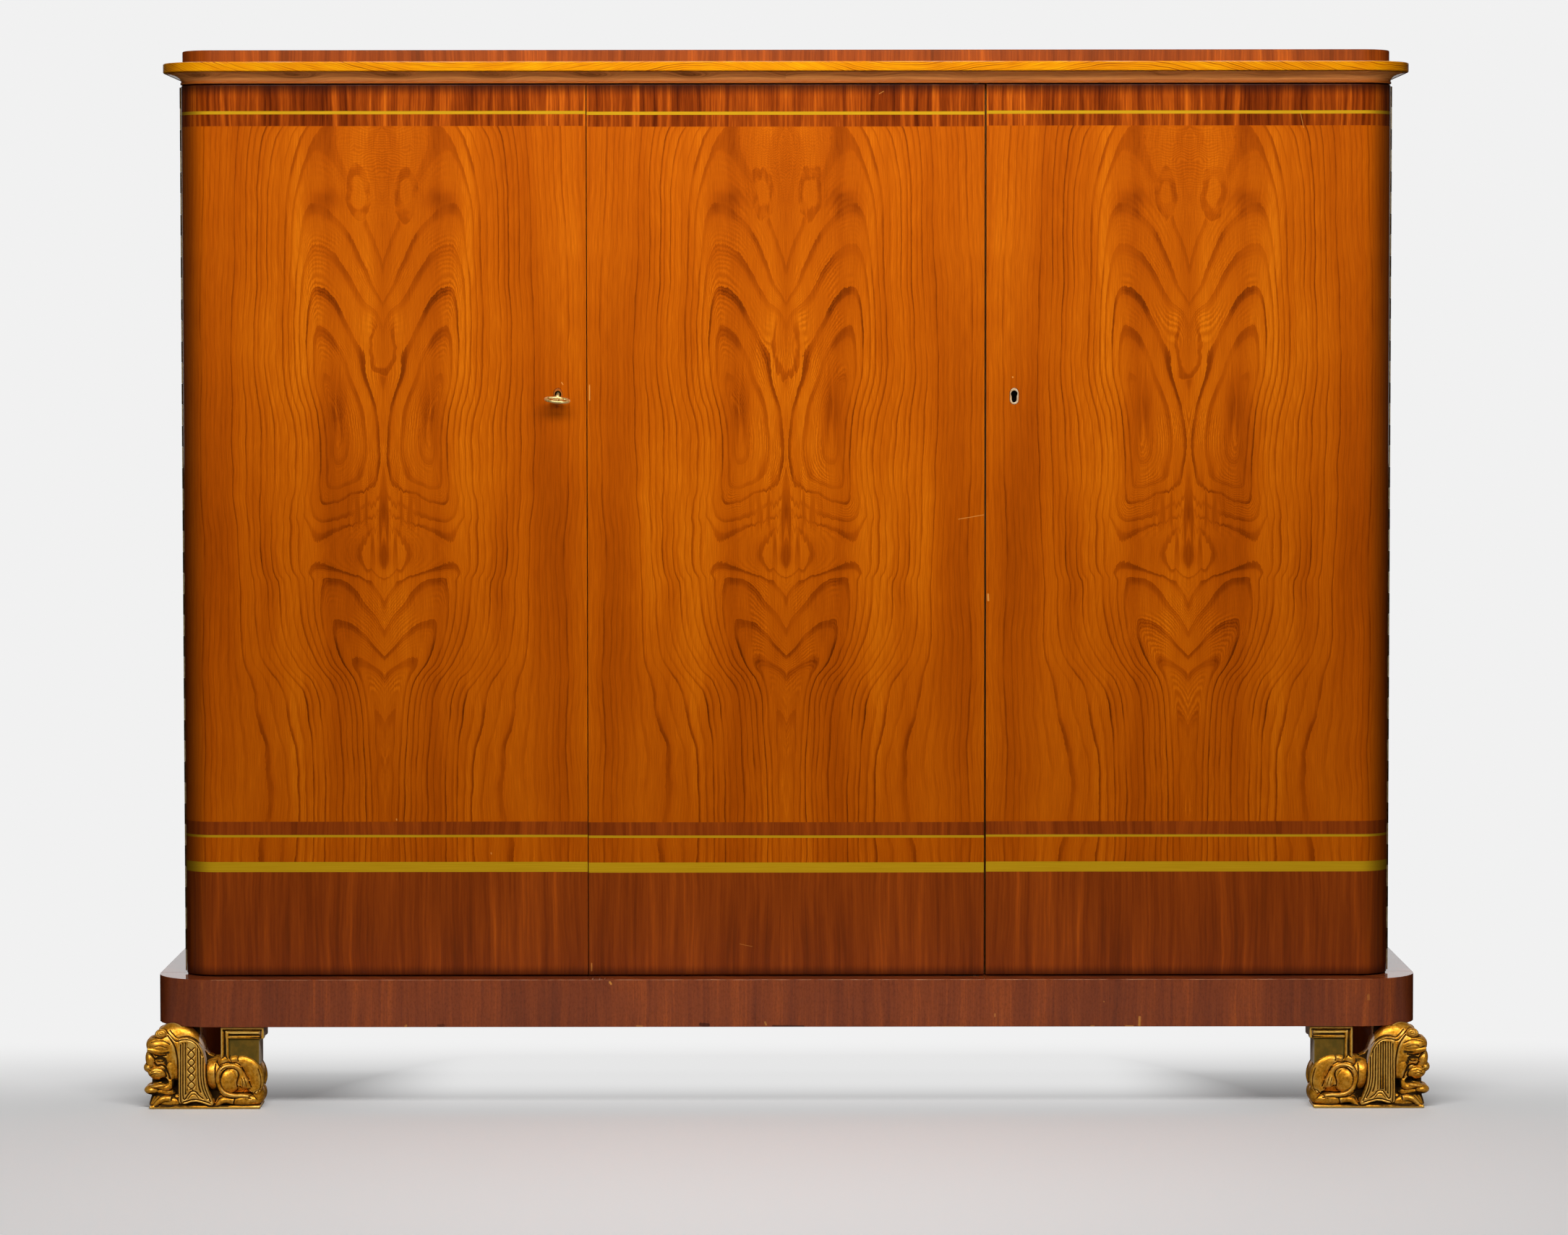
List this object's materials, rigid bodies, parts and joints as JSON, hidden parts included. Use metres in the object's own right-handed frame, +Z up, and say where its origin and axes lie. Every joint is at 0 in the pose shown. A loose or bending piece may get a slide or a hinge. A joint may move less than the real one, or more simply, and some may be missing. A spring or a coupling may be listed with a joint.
{
  "type": "three-door cabinet",
  "caption": "Low wide veneered cabinet with rounded front corners, hinged doors over shelved bays, a moulded cornice and a plinth on gilded carved lion feet.",
  "frame": {"origin": "on the floor under the middle of the whole cabinet", "axes": "+X to the right of someone facing the doors, +Y from the doors to the back, +Z up; metres"},
  "size_m": [1.795, 0.458, 1.466],
  "materials": {
    "mahogany": "polished reddish brown veneer",
    "figured_elm": "polished book-matched figured veneer, orange brown, with dark and light inlaid bands",
    "olive_ash": "polished bright yellow-orange figured veneer",
    "oak_carcass": "plain satin carcass wood",
    "antique_gilt": "carved wood with worn gilding and dark recesses",
    "brass": "aged brass",
    "dark_steel": "dark worn steel"
  },
  "bodies": {
    "case": {"plinth_front_rail": "mahogany", "plinth_side_rail_left": "mahogany", "plinth_side_rail_right": "mahogany", "cove_board": "mahogany", "top_tier": "mahogany", "rear_leg_left": "mahogany", "rear_leg_right": "mahogany", "side_left": "figured_elm", "side_right": "figured_elm", "cornice_slab": "olive_ash", "plinth_back_rail": "oak_carcass", "plinth_panel": "oak_carcass", "floor_board": "oak_carcass", "ceiling_board": "oak_carcass", "partition_left": "oak_carcass", "partition_right": "oak_carcass", "back_panel_left": "oak_carcass", "back_panel_middle": "oak_carcass", "back_panel_right": "oak_carcass", "shelf_left_1": "oak_carcass", "shelf_left_2": "oak_carcass", "shelf_left_3": "oak_carcass", "shelf_middle_1": "oak_carcass", "shelf_middle_2": "oak_carcass", "shelf_middle_3": "oak_carcass", "shelf_right_1": "oak_carcass", "shelf_right_2": "oak_carcass", "shelf_right_3": "oak_carcass", "lion_foot_left": "antique_gilt", "lion_foot_right": "antique_gilt", "left_hinge_case_leaf": "brass", "left_hinge_pin": "brass", "right_hinge_case_leaf": "brass", "right_hinge_pin": "brass", "lock_strike_left": "brass", "lock_strike_right": "brass", "bottom_pivot_plate": "brass", "top_pivot_plate": "brass"},
    "left_door": {"left_door": "figured_elm", "left_hinge_door_leaf": "brass", "left_keyhole_insert": "brass", "left_lock_case": "brass"},
    "middle_door": {"middle_door": "figured_elm", "bottom_pivot_shoe": "brass", "top_pivot_shoe": "brass", "bottom_bolt_plate": "brass", "top_bolt_plate": "brass"},
    "right_door": {"right_door": "figured_elm", "right_hinge_door_leaf": "brass", "right_keyhole_insert": "brass", "right_lock_case": "brass"},
    "key": {"key": "brass"},
    "left_lock_bolt": {"left_lock_bolt": "dark_steel"},
    "right_lock_bolt": {"right_lock_bolt": "dark_steel"},
    "top_bolt": {"top_bolt": "brass"},
    "bottom_bolt": {"bottom_bolt": "brass"}
  },
  "joints": [
    {"name": "left_door_swing", "type": "hinge", "parent": "case", "child": "left_door", "pos_m": [-0.8406, -0.1415, 0.8], "axis": [0, 0, -1], "range_deg": [0, 175]},
    {"name": "right_door_swing", "type": "hinge", "parent": "case", "child": "right_door", "pos_m": [0.8406, -0.1415, 0.8], "axis": [0, 0, 1], "range_deg": [0, 175]},
    {"name": "middle_door_swing", "type": "hinge", "parent": "case", "child": "middle_door", "pos_m": [0.26275, -0.184, 0.8], "axis": [0, 0, 1], "range_deg": [0, 100]},
    {"name": "key_turn", "type": "hinge", "parent": "left_door", "child": "key", "pos_m": [-0.316, -0.191, 0.9899], "axis": [0, 0.9659, 0.2588], "range_deg": [0, 180]},
    {"name": "left_lock_bolt_slide", "type": "slide", "parent": "left_door", "child": "left_lock_bolt", "axis": [1, 0, 0], "range_m": [0, 0.008]},
    {"name": "right_lock_bolt_slide", "type": "slide", "parent": "right_door", "child": "right_lock_bolt", "axis": [-1, 0, 0], "range_m": [0, 0.008]},
    {"name": "top_bolt_slide", "type": "slide", "parent": "middle_door", "child": "top_bolt", "axis": [0, 0, 1], "range_m": [0, 0.012]},
    {"name": "bottom_bolt_slide", "type": "slide", "parent": "middle_door", "child": "bottom_bolt", "axis": [0, 0, -1], "range_m": [0, 0.012]}
  ],
  "couplings": [
    {"joint": "left_lock_bolt_slide", "follows": "key_turn", "m_per_rad": 0.002546}
  ]
}
